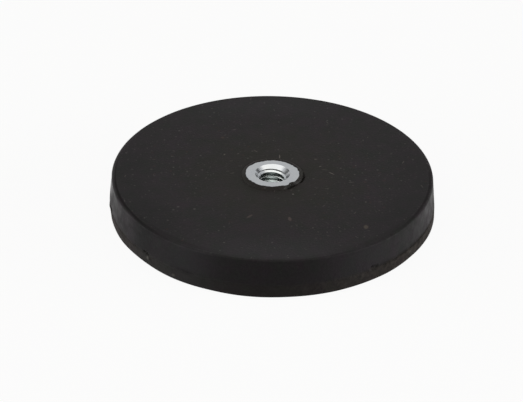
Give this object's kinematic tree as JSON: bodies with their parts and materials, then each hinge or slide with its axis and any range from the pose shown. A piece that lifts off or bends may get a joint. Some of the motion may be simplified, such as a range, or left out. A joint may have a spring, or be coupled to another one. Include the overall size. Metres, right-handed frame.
{
  "type": "rubber-coated pot magnet",
  "caption": "Flat round rubber-coated pot magnet with a zinc-plated threaded bush at its centre, for fixing things to steel without scratching it.",
  "frame": {"origin": "centre of the flat holding face, which is also the bottom centre of the part's box", "axes": "+Z along the symmetry axis, away from the holding face and out of the threaded bush"},
  "size_m": [0.066, 0.066, 0.0089],
  "materials": {
    "black_rubber": "moulded, dull, slightly dusty",
    "zinc_plated_steel": "turned and bright zinc plated",
    "plain_steel": "punched sheet",
    "nickel_plating": "bright nickel plated"
  },
  "bodies": {
    "root": {"rubber_coat": "black_rubber", "threaded_bush": "zinc_plated_steel", "steel_plate": "plain_steel", "magnet_1": "nickel_plating", "magnet_2": "nickel_plating", "magnet_3": "nickel_plating", "magnet_4": "nickel_plating", "magnet_5": "nickel_plating", "magnet_6": "nickel_plating", "magnet_7": "nickel_plating", "magnet_8": "nickel_plating"}
  },
  "joints": []
}
